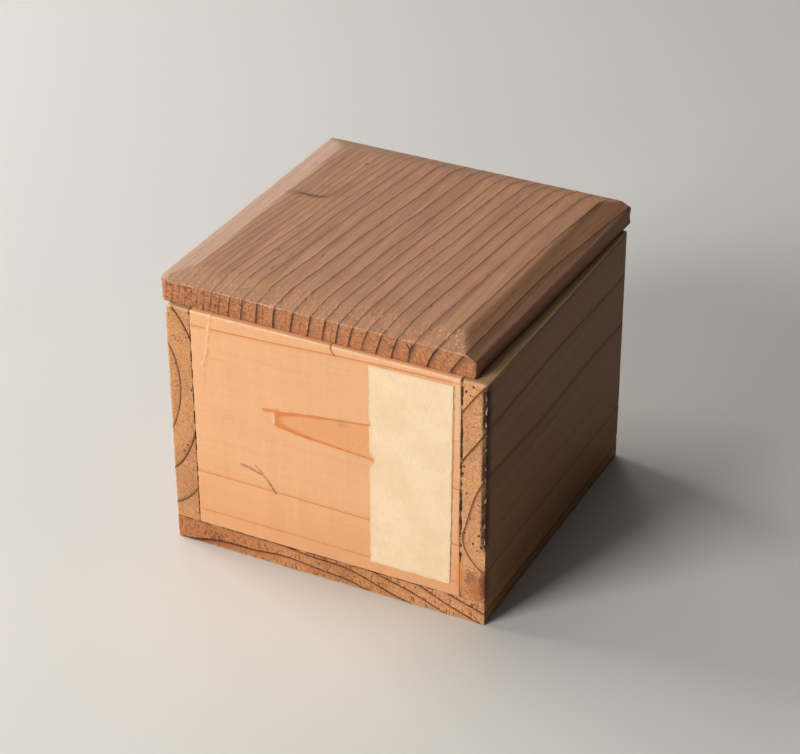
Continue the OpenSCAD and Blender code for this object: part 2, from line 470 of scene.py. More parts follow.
# %% Wood finish
def wood(name, log, tones, stains, marks):
    finish = Finish(name)
    place = finish.millimetres()
    along, across, upward = (place[axis] for axis in log.axes())
    whole = finish.vector(*place)
    end, inner = finish.attribute("end_grain"), finish.attribute("inner")
    arris, joint = finish.attribute("arris"), finish.attribute("joint")
    tear, polish, grime = (finish.attribute(key) for key in ("tear", "polish", "grime"))
    fibres = finish.noise(finish.vector(along * 0.035, across, upward), 3.2, 4.0, 0.62)
    streaks = finish.noise(finish.vector(along * 0.02, across, upward), 0.55, 3.0, 0.6)
    clouds = finish.noise(whole, 0.07, 4.0, 0.6)
    speckle = finish.noise(whole, 2.4, 3.0, 0.65)
    flecks = rise(finish.noise(whole, 1.5, 3.0, 0.6), 0.53, 0.63) * end
    ring, line, band = ring_marks(finish, log, tones, place, end, fibres)
    # Lines fade on rubbed places, partly from wear and partly for a painted sheen that washes them out.
    line = line * (1 - 0.8 * polish)
    pit_spread = finish.vector(along * 0.1, across, upward * tones.pit_rise)
    pits = pit_marks(finish, tones, pit_spread, whole, ring) * (0.25 + 0.75 * end)
    # The long faces, and the clean faces inside the box.
    late = band * tones.band + line * (0.6 + 0.8 * streaks) * tones.line
    face = finish.blend(late, opaque(tones.early), opaque(tones.late))
    face = finish.blend(inner * 0.75, face, opaque(tones.inside))
    # The cut ends, with what has soaked into them under the lines of the rings.
    end_late = band * tones.band + line * tones.end_line
    end_early = opaque(tones.end_early)
    mottle = finish.noise(whole, 0.6, 4.0, 0.7)
    for stain in stains:
        if stain.under:
            end_early = stained(finish, end_early, stain, place, mottle)
    cut = finish.blend(end_late, end_early, opaque(tones.end_late))
    # Dust, fibres, flecks and pits over both.
    colour = finish.blend(end, face, cut)
    colour = finish.blend(rise(clouds, 0.45, 0.8) * tones.dust, colour, opaque(tones.grime))
    tone = 1 + tones.fibre * (fibres - 0.5) + tones.streak * (1 - end) * (streaks - 0.5)
    tone = tone + tones.speckle * end * (speckle - 0.5)
    colour = finish.shade(colour, tone)
    colour = finish.blend(flecks * tones.fleck, colour, opaque(tones.grime))
    colour = finish.blend(pits * tones.pits, colour, opaque(tones.end_late))
    # Wear: loose fibres, painted shade, rubbed places with a painted sheen and pale arrises, then the stains,
    # painted shade in the torn notches and the dirt in the joints.
    loose = finish.noise(finish.vector(along * 0.25, across, upward), 2.2)
    fuzz = finish.attribute("fuzz") * rise(loose, 0.52, 0.72)
    colour = finish.blend(fuzz * 0.28, colour, opaque(tones.arris))
    # Painted shade: the lid's right end faces away from the lamps and is darkened toward the grime colour.
    colour = finish.blend(grime * 0.6, colour, opaque(tones.grime))
    # Rubbed places turn greyer: partly worn wood, partly a painted sheen.
    colour = finish.blend(polish * (1 - end) * 0.22, colour, RUBBED_SHEEN_GREY)
    colour = finish.blend(arris * rise(speckle, 0.35, 0.55) * (1 - 0.8 * line), colour, opaque(tones.arris))
    for stain in stains:
        if not stain.under:
            colour = stained(finish, colour, stain, place, speckle)
    # Painted shade: the torn notches are darkened almost to black for the shade inside them.
    colour = finish.blend(tear * 1.25, colour, DIRT_AND_NOTCH_SHADE)
    dirt_and_shadow = rise(finish.noise(whole, 0.35, 3.0, 0.6), 0.35, 0.6)
    crack = rise(joint * (0.2 + 1.6 * dirt_and_shadow), 0.4, 0.7)
    colour = finish.blend(crack, colour, DIRT_AND_NOTCH_SHADE)
    height = fibres * 0.4 + line * 0.25 - pits * 0.9 + end * speckle * 0.5
    if marks:
        colour, height = marks(finish, place, colour, height)
    finish.output("Base Color", colour)
    finish.output("Roughness", tones.matte + 0.2 * fibres + 0.15 * pits)
    finish.output("Specular IOR Level", 0.3)
    finish.output("Normal", finish.bump(height, tones.relief))
    return finish.material


print("colours and strengths in one board's wood:", len(vars(TONES["wall"])))

# %% [markdown]
# ## Stains of single boards
# Rust has soaked into the foot of the right wall, the base is tinted toward both ends, and a few large pits
# and specks sit where no noise would put them. They could be painted on an image, but an image would have
# to be fitted to each board. A soft blot with a middle and a reach needs no fitting, and a noise makes its
# rim ragged.

# %% Stains of the boards
FRONT_Y, LID_TOP_Z = -49.0, 88.0
RUST = (0.51, 0.185, 0.07)
DARK_RUST = (0.17, 0.042, 0.014)
OLD_RUST = (0.36, 0.16, 0.085)
RED_TINT = (0.46, 0.15, 0.05)
PALE_TINT = (0.78, 0.37, 0.17)
PIT_DARK = (0.06, 0.018, 0.01)
ORANGE_SMEAR = Stain((42.4, FRONT_Y, 15.0), (1.7, 4.0, 8.0), 0.8, (0.72, 0.27, 0.085))
WALL_PITS = (
    (45.7, 77.8, 0.5), (43.6, 75.9, 0.55), (44.9, 75.0, 0.35), (43.3, 51.8, 0.5), (42.9, 49.5, 0.5),
    (44.2, 43.2, 0.45), (48.5, 32.6, 0.45), (48.0, 30.2, 0.45), (46.2, 27.0, 0.45), (48.7, 26.5, 0.5),
    (47.5, 25.0, 0.4),
)
LID_SPECKS = (
    (-30.8, 38.0, 0.9, 0.9, 1.0), (24.5, -31.2, 0.7, 1.0, 0.9), (-15.7, -18.6, 0.5, 1.7, 0.9),
    (-28.6, -21.0, 0.5, 1.5, 0.8), (-25.0, -31.0, 0.5, 1.8, 0.8),
)


def wall_pit(x, z, size):
    return Stain((x, FRONT_Y, z), (size, 2.0, 1.2 * size), 1.0, PIT_DARK)


def lid_speck(x, y, width, length, strength):
    return Stain((x, y, LID_TOP_Z), (width, length, 1.0), strength, TONES["lid_board"].grime)


STAINS = {
    "right_wall": [
        Stain((47.4, FRONT_Y, 12.5), (5.0, 6.0, 7.0), 0.9, RUST, under=True),
        Stain((45.6, FRONT_Y, 15.5), (2.6, 4.0, 3.0), 0.6, OLD_RUST, under=True),
        Stain((50.0, FRONT_Y, 13.5), (2.2, 4.0, 8.0), 0.9, DARK_RUST),
        ORANGE_SMEAR,
        *(wall_pit(*pit) for pit in WALL_PITS),
    ],
    "front_panel": [ORANGE_SMEAR],
    "base_board": [
        Stain((-41.0, FRONT_Y, 4.0), (24.0, 8.0, 10.0), 0.6, RED_TINT, under=True),
        Stain((45.0, FRONT_Y, 4.0), (28.0, 8.0, 12.0), 0.8, PALE_TINT, under=True),
    ],
    "lid_board": [lid_speck(*speck) for speck in LID_SPECKS],
}
print("stains:", {board: len(stains) for board, stains in STAINS.items()})

# %% [markdown]
# ## Marks on the front panel
# Some marks belong to this one board: an orange arrow where the rings run out, a ragged trace of old paper,
# a scuff and a short split. They could be painted by hand on a texture. Here each is a line through a few
# spots, and the distance from it gives the colour, so a mark stays sharp at any size and can be moved by
# changing one spot.

# %% Arrow on the panel
def stroke(x, z, start, end, width, speckle):
    """1 along a straight mark on the front, 0 away from it."""
    run, climb = end[0] - start[0], end[1] - start[1]
    share = ((x - start[0]) * run + (z - start[1]) * climb) / (run * run + climb * climb)
    share = share.math("MAXIMUM", 0.0).math("MINIMUM", 1.0)
    dx, dz = x - (share * run + start[0]), z - (share * climb + start[1])
    return 1 - rise(root(dx * dx + dz * dz) + width * (speckle - 0.5), 0.2 * width, width)


ARROW_BARB = ((-19.1, 52.7), (-14.6, 53.5))
ARROW_END = ((-15.3, 53.1), (-15.4, 49.1))
ARROW_PALE = ((-16.1, 51.9), (-16.2, 49.2))
ARROW_SMUDGE = Stain((5.8, FRONT_Y, 55.0), (3.0, 4.0, 1.2), 0.35, (0.42, 0.25, 0.15))
ARROW_HEART = opaque((0.82, 0.36, 0.135))
ARROW_LINE = opaque((0.74, 0.22, 0.05))
ARROW_FIBRE = opaque((0.86, 0.60, 0.42))


def arrow_marks(finish, place, colour, speckle):
    """The heart of the rings is orange, and its tip was cut off square where the board was planed."""
    x, z = place[0], place[2]
    heart = 1 - rise(ring_count(LOGS["front_panel"], place), -0.05, 0.0)
    heart = heart * (0.65 - 0.4 * rise(x, 20.0, 42.0))
    colour = finish.blend(heart, colour, ARROW_HEART)
    beside = rise(x, -26.0, -24.0) * (1 - rise(x, -16.0, -15.5))
    beside = beside * rise(z, 44.0, 47.0) * (1 - rise(z, 55.0, 58.0))
    colour = finish.blend(beside * 0.95, colour, opaque(TONES["panel"].early))
    ends = stroke(x, z, *ARROW_BARB, 0.95, speckle).math("MAXIMUM", stroke(x, z, *ARROW_END, 0.5, speckle))
    colour = finish.blend(ends * 0.85, colour, ARROW_LINE)
    colour = finish.blend(stroke(x, z, *ARROW_PALE, 0.55, speckle) * 0.7, colour, ARROW_FIBRE)
    return stained(finish, colour, ARROW_SMUDGE, place, speckle)


print("the arrow's barb starts at", ARROW_BARB[0])

# %% Other marks on the panel
def trail(u, v, spots, width, speckle):
    """1 along a line through several spots, 0 away from it."""
    mark = stroke(u, v, spots[0], spots[1], width, speckle)
    for start, end in zip(spots[1:], spots[2:]):
        mark = mark.math("MAXIMUM", stroke(u, v, start, end, width, speckle))
    return mark


PAPER_TRACE = ((-34.9, 79.5), (-35.7, 74.5), (-36.7, 67.0), (-38.2, 61.0), (-37.8, 56.0))
SCUFF = ((-27.1, 32.0), (-24.8, 31.7), (-20.5, 30.4), (-19.1, 29.5), (-16.2, 25.3))
SCUFF_TOP = ((-22.6, 33.0), (-20.3, 30.8))
STEP_SPLIT = ((2.4, 79.4), (3.0, 77.6), (4.0, 76.6))
LABEL_SHADOW_AND_DIRT = ((40.25, 76.6), (39.9, 45.0), (39.35, 11.6))
FOOT_TINT = opaque((0.74, 0.33, 0.135))
TRACE_BROWN = opaque((0.70, 0.36, 0.12))
SCUFF_GREY = opaque((0.19, 0.10, 0.055))
SPLIT_DARK = opaque((0.26, 0.10, 0.04))
SHADOW_AND_DIRT_BROWN = opaque((0.24, 0.10, 0.05))
MOTTLE_TINT = opaque((0.76, 0.34, 0.135))


def panel_marks(finish, place, colour, height):
    """The arrow, a ragged trace of old paper, a grey scuff, a short split, and dirt with a painted shadow
    beside the label.
    """
    x, y, z = place
    whole = finish.vector(x, y, z)
    speckle = finish.noise(whole, 1.3, 3.0, 0.65)
    broken = rise(finish.noise(whole, 0.45, 3.0, 0.6), 0.42, 0.56)
    colour = arrow_marks(finish, place, colour, speckle)
    colour = finish.blend((1 - rise(z, 10.0, 36.0)) * 0.45, colour, FOOT_TINT)
    # The strip between the label and the right wall is made lighter toward the top.
    strip = rise(x, 38.5, 40.5) * rise(z, 52.0, 60.0)
    pale = opaque(TONES["panel"].arris)
    colour = finish.blend(strip * 0.35, colour, pale)
    drift = 2.4 * (finish.noise(whole, 0.45, 3.0, 0.7) - 0.5)
    edge = trail(x + drift, z, PAPER_TRACE, 0.7, 3.0 * speckle - 1.0) * broken
    colour = finish.blend(edge * 0.8, colour, TRACE_BROWN)
    crumbs = trail(x + drift + 0.5, z - 0.3, PAPER_TRACE, 0.5, 3.0 * speckle - 1.0) * broken
    colour = finish.blend(crumbs * 0.7, colour, pale)
    scuff = trail(x, z, SCUFF, 0.7, speckle).math("MAXIMUM", trail(x, z, SCUFF_TOP, 0.6, speckle) * 0.7)
    colour = finish.blend(scuff * rise(speckle, 0.25, 0.6) * 0.8, colour, SCUFF_GREY)
    split = trail(x, z, STEP_SPLIT, 0.45, speckle)
    colour = finish.blend(split * 0.8, colour, SPLIT_DARK)
    # Painted shadow of the label's lifted right edge on the panel, with some dirt along it.
    dirt_and_shadow = trail(x, z, LABEL_SHADOW_AND_DIRT, 0.3, speckle) * (0.5 + 0.5 * broken)
    colour = finish.blend(dirt_and_shadow * 0.6, colour, SHADOW_AND_DIRT_BROWN)
    planing = finish.noise(finish.vector(x, y, z * 0.06), 0.5, 2.0, 0.5)
    mottle = finish.noise(finish.vector(x * 0.6, y, z), 1.1, 4.0, 0.7)
    grain = finish.noise(finish.vector(x * 0.5, y, z), 3.0, 2.0, 0.6)
    colour = finish.blend(rise(mottle, 0.42, 0.72) * 0.28, colour, MOTTLE_TINT)
    colour = finish.shade(colour, 1 + 0.1 * (planing - 0.5) + 0.15 * (mottle - 0.5) + 0.25 * (grain - 0.5))
    return colour, height + edge * 1.5 + crumbs * 2.0 - split * 3.0 + mottle * 0.5


print("marks on the panel: a trace of", len(PAPER_TRACE), "spots and a scuff of", len(SCUFF))

# %% [markdown]
# ## Marks on the lid
# On the top, the dark grain swirls round a small knot, with clear wood on both sides of it. The front edge
# has a forked split, and specks toward its left end. The swirl could come from a stronger knot in the ring
# formula, but that would push every ring near it; a drawn line touches nothing else.

# %% Swirl and split
SWIRL = (
    (-43.1, 12.2), (-38.8, 12.6), (-35.8, 12.4), (-33.2, 13.0),
    (-31.4, 14.4), (-30.4, 16.1), (-29.8, 18.1), (-29.3, 24.0),
)
EDGE_SPLIT = ((26.0, 82.0), (26.0, 83.4), (25.2, 84.8))
EDGE_SPLIT_ARM = ((26.0, 83.4), (26.9, 84.7))
SWIRL_SHADE = opaque((0.26, 0.10, 0.055))
SWIRL_CORE = opaque((0.10, 0.035, 0.025))
CLEAR_WOOD = TONES["lid_board"].early
SWIRL_CLEAR = (
    Stain((-39.5, 20.0, LID_TOP_Z), (3.5, 7.0, 4.0), 0.4, CLEAR_WOOD),
    Stain((-30.5, 6.5, LID_TOP_Z), (4.5, 7.0, 4.0), 0.4, CLEAR_WOOD),
)


def lid_marks(finish, place, colour, height):
    """A swirl of dark grain between clear patches on the top, and a forked split and specks in the edge."""
    x, y, z = place
    whole = finish.vector(x, y, z)
    speckle = finish.noise(whole, 1.3, 3.0, 0.65)
    on_top, on_front = rise(z, 85.4, 86.2), 1 - rise(y, -46.8, -46.2)
    for patch in SWIRL_CLEAR:
        colour = stained(finish, colour, patch, place, speckle)
    shade = trail(x, y, SWIRL, 2.4, speckle) * on_top
    colour = finish.blend(shade * 0.35, colour, SWIRL_SHADE)
    core = trail(x, y, SWIRL, 0.9, speckle) * on_top * (1 - rise((x + 36.0).math("ABSOLUTE"), 2.5, 6.5))
    colour = finish.blend(core * 0.75, colour, SWIRL_CORE)
    arm = stroke(x, z, *EDGE_SPLIT_ARM, 0.45, speckle)
    split = trail(x, z, EDGE_SPLIT, 0.45, speckle).math("MAXIMUM", arm)
    specks = rise(finish.noise(whole, 1.15, 2.0, 0.6), 0.56, 0.64) * (1 - rise(x, -34.0, -14.0))
    blobs = finish.noise(whole, 1.0, 2.0, 0.6)
    colour = finish.shade(colour, 1 + on_front * (blobs - 0.5) * 1.1)
    dark = split.math("MAXIMUM", specks * 0.55) * on_front
    colour = finish.blend(dark * 0.85, colour, opaque(TONES["lid_board"].end_late))
    return colour, height - dark


print("the swirl runs through", len(SWIRL), "spots")

# %% Wood of each board
MARKS = {"front_panel": panel_marks, "lid_board": lid_marks}
WOODS = {}
for node, log in LOGS.items():
    WOODS[node] = wood(node + "_wood", log, TONES[kind_of(node)], STAINS.get(node, ()), MARKS.get(node))
print("wood finishes:", sorted(WOODS))

# %% [markdown]
# ## A board as a worn block
# A plain cube would keep razor-sharp edges, and a Bevel modifier rounds them all alike. An old board is
# softer at the corners, a little different along every edge, and torn where a saw left the fibres loose. So
# the board starts as a block whose surface is ruled into a grid, finer near the edges, and each point near
# an edge is drawn onto a round whose radius changes along the edge.

# %% Ruled blocks
EDGE_STEPS = (0.0, 0.12, 0.28, 0.5, 0.8, 1.2)


def rulings(low, high, cell):
    """Positions of the grid lines along one axis: close at the ends, then evenly spaced.

    A sheet too thin for that has a line on each of its two faces.
    """
    if high - low < 2 * EDGE_STEPS[-1]:
        return np.array([low, high])
    inner_low, inner_high = low + EDGE_STEPS[-1], high - EDGE_STEPS[-1]
    count = max(2, math.ceil((inner_high - inner_low) / cell) + 1)
    middle = np.linspace(inner_low, inner_high, count)[1:-1]
    ends = np.array(EDGE_STEPS)
    return np.concatenate([low + ends, middle, high - ends[::-1]])


def block_surface(low, high, cells):
    """Points and four-sided faces over the whole surface of a block, as one closed skin."""
    lines = [rulings(low[axis], high[axis], cells[axis]) for axis in range(3)]
    last = [len(line) - 1 for line in lines]
    index = {}
    points, faces = [], []

    def corner(key):
        if key not in index:
            index[key] = len(points)
            points.append([lines[axis][key[axis]] for axis in range(3)])
        return index[key]

    for axis in range(3):
        u, v = (axis + 1) % 3, (axis + 2) % 3
        for side in (0, last[axis]):
            for i in range(last[u]):
                for j in range(last[v]):
                    ring = []
                    for du, dv in ((0, 0), (1, 0), (1, 1), (0, 1)):
                        key = [0, 0, 0]
                        key[axis], key[u], key[v] = side, i + du, j + dv
                        ring.append(corner(tuple(key)))
                    faces.append(ring if side else ring[::-1])
    return np.array(points), faces


def ripple(points, scale, seed):
    """Smooth noise from -1 to 1 at each point, for features about 1/scale millimetres long."""
    shift = Vector((seed * 7.31, seed * 3.77, seed * 5.13))
    return np.array([perlin.noise(Vector(p) * scale + shift) for p in points.tolist()])


LEAST_ROUND = 0.05
MOST_ROUND = 0.9


def soften(points, low, high, radius):
    """Draws points near an edge onto a round of the given radius, which may differ from point to point."""
    middle, half = (low + high) / 2, (high - low) / 2
    radius = np.clip(radius, LEAST_ROUND, half.min() * MOST_ROUND)[:, None]
    offset = points - middle
    inner = np.clip(offset, radius - half, half - radius)
    out = offset - inner
    outward = out / np.linalg.norm(out, axis=1, keepdims=True)
    return middle + inner + outward * radius, outward


sample = block_surface(np.zeros(3), np.full(3, 10.0), (1, 1, 1))
print("a ruled block of 10 mm has", len(sample[1]), "faces")

# %% Edges and faces
FACES = {"-x": (0, -1), "+x": (0, 1), "-y": (1, -1), "+y": (1, 1), "-z": (2, -1), "+z": (2, 1)}


def depth_from(points, low, high, face):
    """How far each point lies behind one face of the block."""
    axis, side = FACES[face]
    return high[axis] - points[:, axis] if side > 0 else points[:, axis] - low[axis]


def edge_mark(points, low, high, pairs, reach):
    """1 on the edges where the named faces meet, 0 at the given distance from them."""
    mark = np.zeros(len(points))
    for first, second in pairs:
        depth = np.maximum(depth_from(points, low, high, first), depth_from(points, low, high, second))
        mark = np.maximum(mark, 1 - rise(depth, 0.0, reach))
    return mark


def inner_mark(outward, hidden):
    """1 on the faces that look into the box or lie against another board."""
    mark = np.zeros(len(outward))
    for face in hidden:
        axis, side = FACES[face]
        mark = np.maximum(mark, rise(outward[:, axis] * side, 0.5, 0.9))
    return mark


print("faces of a block:", *FACES)

# %% Mesh pieces
SHARP_ANGLE = math.radians(50)


def mesh_piece(name, points, faces, material, values):
    """A mesh object in metres at the origin, with one number per point for each named value."""
    mesh = bpy.data.meshes.new(name)
    mesh.from_pydata((points * MM).tolist(), [], faces)
    for key, numbers in values.items():
        layer = mesh.attributes.new(key, "FLOAT", "POINT")
        layer.data.foreach_set("value", np.asarray(numbers, dtype=np.float32))
    mesh.materials.append(material)
    mesh.polygons.foreach_set("use_smooth", [True] * len(mesh.polygons))
    mesh.set_sharp_from_angle(angle=SHARP_ANGLE)
    mesh.update()
    piece = bpy.data.objects.new(name, mesh)
    bpy.context.scene.collection.objects.link(piece)
    return piece


def corners(node):
    """The lowest and highest corner of a packed solid, in millimetres."""
    low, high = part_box(node)
    return np.array(low) / MM, np.array(high) / MM


def dress(piece, node, body):
    """The piece rides on its body and stands for its solid, which is hidden."""
    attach(piece, body)
    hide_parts(node)


# %% [markdown]
# ## The boards of the box and the battens
# The walls, panels, base and battens are all worn blocks. What differs is the size of the grid, which faces
# are bare, how far the edges are eased, and where a corner was knocked or an arris torn by the saw.

# %% Boards
@dataclass
class Wear:
    """How far a board is worn, in millimetres, and which of its faces are bare.

    Every edge is eased a little, by chance more or less along it. The soft edges are eased further, a knock
    is a dent at one place, and a torn edge has lost fibres between two heights. The gap and the dirt say how
    wide and how dark the joints are, the fresh faces look like those inside, and the mouth is the face that
    looks into the box.
    """
    bare: str
    ease: float
    cells: tuple
    seed: int
    relief: float = 0.0
    soft: tuple = ()
    knocks: tuple = ()
    torn: tuple = ()
    gap: float = 0.5
    dirt_and_shadow: float = 0.6
    fresh: str = ""
    mouth: str = ""

    def faces(self):
        """The bare faces, and the hidden ones."""
        bare = self.bare.split()
        return bare, [face for face in FACES if face not in bare]


ALL_BUT_TOP = "-x +x -y +y -z"
WEARS = {
    "base_board": Wear(ALL_BUT_TOP, 0.45, (1.2, 2.6, 0.5), 1, 0.08),
    "left_wall": Wear(
        "-x -y +y +z", 0.3, (0.8, 2.6, 1.2), 2, 0.04,
        soft=(("-y", "+z", 0.2),), knocks=(((-50, -49, 79.2), 2.0, 0.8),), fresh="+z", mouth="+x",
    ),
    "right_wall": Wear(
        "+x -y +y +z", 0.3, (0.6, 2.6, 0.22), 3, 0.04, soft=(("-y", "+z", 0.6),),
        knocks=(
            ((42.2, -49, 75), 2.0, 0.6), ((42.2, -49, 63.5), 2.5, 0.8), ((42.2, -49, 35), 6.0, 0.4),
            ((50, -49, 70.4), 1.2, 1.2),
        ),
        torn=("+x", "-y", 24.0, 79.5, 1.6), gap=1.0, dirt_and_shadow=1.0, fresh="+z", mouth="-x",
    ),
    "front_panel": Wear(
        "-y +z", 0.25, (1.2, 2.0, 1.2), 4, soft=(("-y", "+z", 0.15),),
        knocks=(((2.5, -49, 79.2), 0.8, 0.8), ((22, -49, 79.2), 14.0, 0.6), ((42.2, -49, 30), 9.0, 0.5)),
        mouth="+y",
    ),
    "back_panel": Wear("+y +z", 0.3, (2.4, 2.0, 2.4), 5, soft=(("+y", "+z", 0.6),), mouth="-y"),
}
for seed, side in enumerate(("front", "back", "left", "right"), start=6):
    batten_cells = (2.4, 1.6, 1.6) if side in ("front", "back") else (1.6, 2.4, 1.6)
    WEARS[side + "_batten"] = Wear(ALL_BUT_TOP, 0.3, batten_cells, seed)
print("worn boards:", *WEARS)

# %% Worn edges
TOOTH_PITCH = 0.85
TEAR_REACH = 2.4
SOFT_REACH = 4.0


def torn_edge(points, low, high, wear):
    """How far the saw tore the fibres out of an upright arris, from 0 to 1: slanting notches, in patches."""
    first, second, start, stop = wear.torn[:4]
    height = points[:, 2]
    upright = points * [0, 0, 1]
    slant = (height - 0.8 * points[:, 0] - points[:, 1]) / TOOTH_PITCH
    slant = slant + ripple(upright, 0.37, wear.seed + 30)
    chance = fraction(1000 * sine(7 * np.floor(slant)))
    tooth = rise(fraction(slant), 0.1, 0.4) * (0.4 + 0.6 * chance)
    part = rise(height, start, start + 3) * (1 - rise(height, stop - 3, stop))
    patchy = 0.75 + 0.25 * rise(ripple(upright, 0.2, wear.seed + 31), -0.4, 0.0)
    worn = rise(edge_mark(points, low, high, [(first, second)], TEAR_REACH), 0.1, 0.5)
    return (0.5 + 0.5 * tooth) * part * patchy * worn


def edge_radius(points, low, high, wear):
    """The radius of the round at each point."""
    slow, quick = ripple(points, 0.12, wear.seed), ripple(points, 0.5, wear.seed + 20)
    radius = wear.ease * (1 + 0.6 * slow + 0.5 * quick)
    for first, second, extra in wear.soft:
        radius = radius + extra * edge_mark(points, low, high, [(first, second)], SOFT_REACH)
    for place, reach, extra in wear.knocks:
        distance = np.linalg.norm(points - np.array(place), axis=1)
        radius = radius + extra * decay((distance / reach) ** 2)
    if wear.torn:
        radius = radius + wear.torn[-1] * torn_edge(points, low, high, wear)
    return radius


print("notches along the torn arris are about", TOOTH_PITCH, "mm apart")

# %% Joints, rings and hollows
SHUT_FROM, SHUT_BELOW, SHUT_FADE = 38.0, 22.0, 4.0


def joint_mark(points, low, high, wear):
    """1 at the open joints beside a board. Its foot sits tight, and so does the joint at the lower right."""
    bare, hidden = wear.faces()
    mouth_edge = ("+z", wear.mouth)
    pairs = [(face, other) for face in bare for other in hidden if other != "-z"]
    pairs = [pair for pair in pairs if pair != mouth_edge]
    mark = wear.dirt_and_shadow * edge_mark(points, low, high, pairs, wear.gap)
    shut = (points[:, 0] > SHUT_FROM) * (1 - rise(points[:, 2], SHUT_BELOW - SHUT_FADE, SHUT_BELOW))
    return mark * (1 - shut)


def late_ridge(log, points):
    """1 on the hard dark line of a ring, 0 between the lines."""
    return rise(fraction(ring_count(log, points.T)), 0.84, 0.97)


def end_mark(outward, grain):
    """1 on the ends, where the saw cut across the grain."""
    return rise(np.abs(outward[:, grain]), 0.55, 0.85)


HOLLOW = 0.05


def hollows(points, scale, seed):
    """How far the plane left each point low, in shallow waves."""
    return HOLLOW * (0.5 + 0.5 * ripple(points, scale, seed))


print("the plane left hollows of up to", HOLLOW, "mm")

# %% Make the boards
ARRIS_REACH = 0.8


def make_board(node, body):
    low, high = corners(node)
    log, wear = LOGS[node], WEARS[node]
    bare, hidden = wear.faces()
    flat, faces = block_surface(low, high, wear.cells)
    points, outward = soften(flat, low, high, edge_radius(flat, low, high, wear))
    end = end_mark(outward, log.grain)
    sink = hollows(points, 0.06, wear.seed + 40)
    sink += wear.relief * end * (1 - late_ridge(log, points))
    values = {
        "end_grain": end,
        "arris": edge_mark(flat, low, high, itertools.combinations(bare, 2), ARRIS_REACH),
        "joint": joint_mark(flat, low, high, wear),
        "inner": inner_mark(outward, hidden + wear.fresh.split()),
    }
    if wear.torn:
        values["tear"] = torn_edge(flat, low, high, wear)
        values["arris"] *= 1 - np.minimum(2 * values["tear"], 1)
    piece = mesh_piece(node + "_timber", points - outward * sink[:, None], faces, WOODS[node], values)
    dress(piece, node, body)
    return piece


BODIES = frame["record"]["behaviour"]["bodies"]
for body, members in BODIES.items():
    for node in members:
        if node in WEARS:
            made = make_board(node, body)
            print(made.name, len(made.data.polygons), "faces")

# %% [markdown]
# ## The lid
# The lid is a wider block with four bevels. A bevel is a ramp: the height at a place depends only on how
# far it is from the nearest edge. Where two ramps meet, the smaller height wins, and that makes the mitre.
# A soft minimum rounds the mitre and the upper arris, as years of hands have done. The real lid is not
# square, so its sides lean, and its front left corner is worn round.

# %% Lid outline
LID_SOLID = frame["nodes"]["lid_board"]
LID_SPOTS = np.array([vertex.co for vertex in LID_SOLID.data.vertices]) / MM
LID_LOW, LID_HIGH = LID_SPOTS.min(axis=0), LID_SPOTS.max(axis=0)
LID_ENDS = LID_LOW[1], LID_HIGH[1]
HAIR = 0.01


def lid_side(end, pick):
    """The leftmost or rightmost place of the lid's front or back end."""
    return pick(LID_SPOTS[np.abs(LID_SPOTS[:, 1] - end) < HAIR, 0])


def lid_sides(y):
    """Where the lid's left and right sides lie at each y. The lid is not quite square, so they lean."""
    return [np.interp(y, LID_ENDS, [lid_side(end, pick) for end in LID_ENDS]) for pick in (min, max)]


def lean_with_sides(points):
    """Fits a block as wide as the lid's whole box between the lid's leaning sides."""
    left, right = lid_sides(points[:, 1])
    share = (points[:, 0] - LID_LOW[0]) / (LID_HIGH[0] - LID_LOW[0])
    leaned = points.copy()
    leaned[:, 0] = left + share * (right - left)
    return leaned


def cut_corner(points, radius):
    """Draws the lid's front left corner, which is worn away, onto an upright round."""
    left = lid_sides(points[:, 1])[0]
    a = np.maximum(radius - (points[:, 0] - left), 0)
    b = np.maximum(radius - (points[:, 1] - LID_LOW[1]), 0)
    away = np.maximum(np.hypot(a, b), HAIR)
    over = np.where((a > 0) & (b > 0), np.maximum(1 - radius / away, 0), 0)
    points[:, 0] += a * over
    points[:, 1] += b * over
    return points


widths = [round(float(lid_side(end, max) - lid_side(end, min)), 1) for end in LID_ENDS]
print("width of the lid in front and behind:", widths)

# %% Lid bevels
def side_of(normal):
    """The side of the lid that a slanting face looks to."""
    if abs(normal[0]) > abs(normal[1]):
        return "right" if normal[0] > 0 else "left"
    return "back" if normal[1] > 0 else "front"


def lid_heights(plan):
    """How high the flat field and each bevel's plane lie over each point, read from the packed faces."""
    heights = {"field": np.full(len(plan), LID_HIGH[2])}
    # The faces come smallest first, so the largest one of each side is the one that is kept.
    for face in sorted(LID_SOLID.data.polygons, key=lambda face: face.area):
        if 0.5 < face.normal.z < 0.99:
            normal, middle = np.array(face.normal), np.array(face.center) / MM
            heights[side_of(normal)] = middle[2] - (plan[:, :2] - middle[:2]) @ normal[:2] / normal[2]
    return heights


def lies_on(heights, side):
    """1 where the named face is the lowest, and so the one that shows."""
    others = np.min([height for name, height in heights.items() if name != side], axis=0)
    return rise(others - heights[side], -0.1, 0.25)


def soft_minimum(first, second, reach):
    """The smaller of two numbers, with a round join over the given reach."""
    mix = np.clip(0.5 + 0.5 * (second - first) / reach, 0, 1)
    return second * (1 - mix) + first * mix - reach * mix * (1 - mix)


centre = lid_heights(np.zeros((1, 3)))
print("planes over the lid's middle:", {side: round(float(height[0]), 1) for side, height in centre.items()})

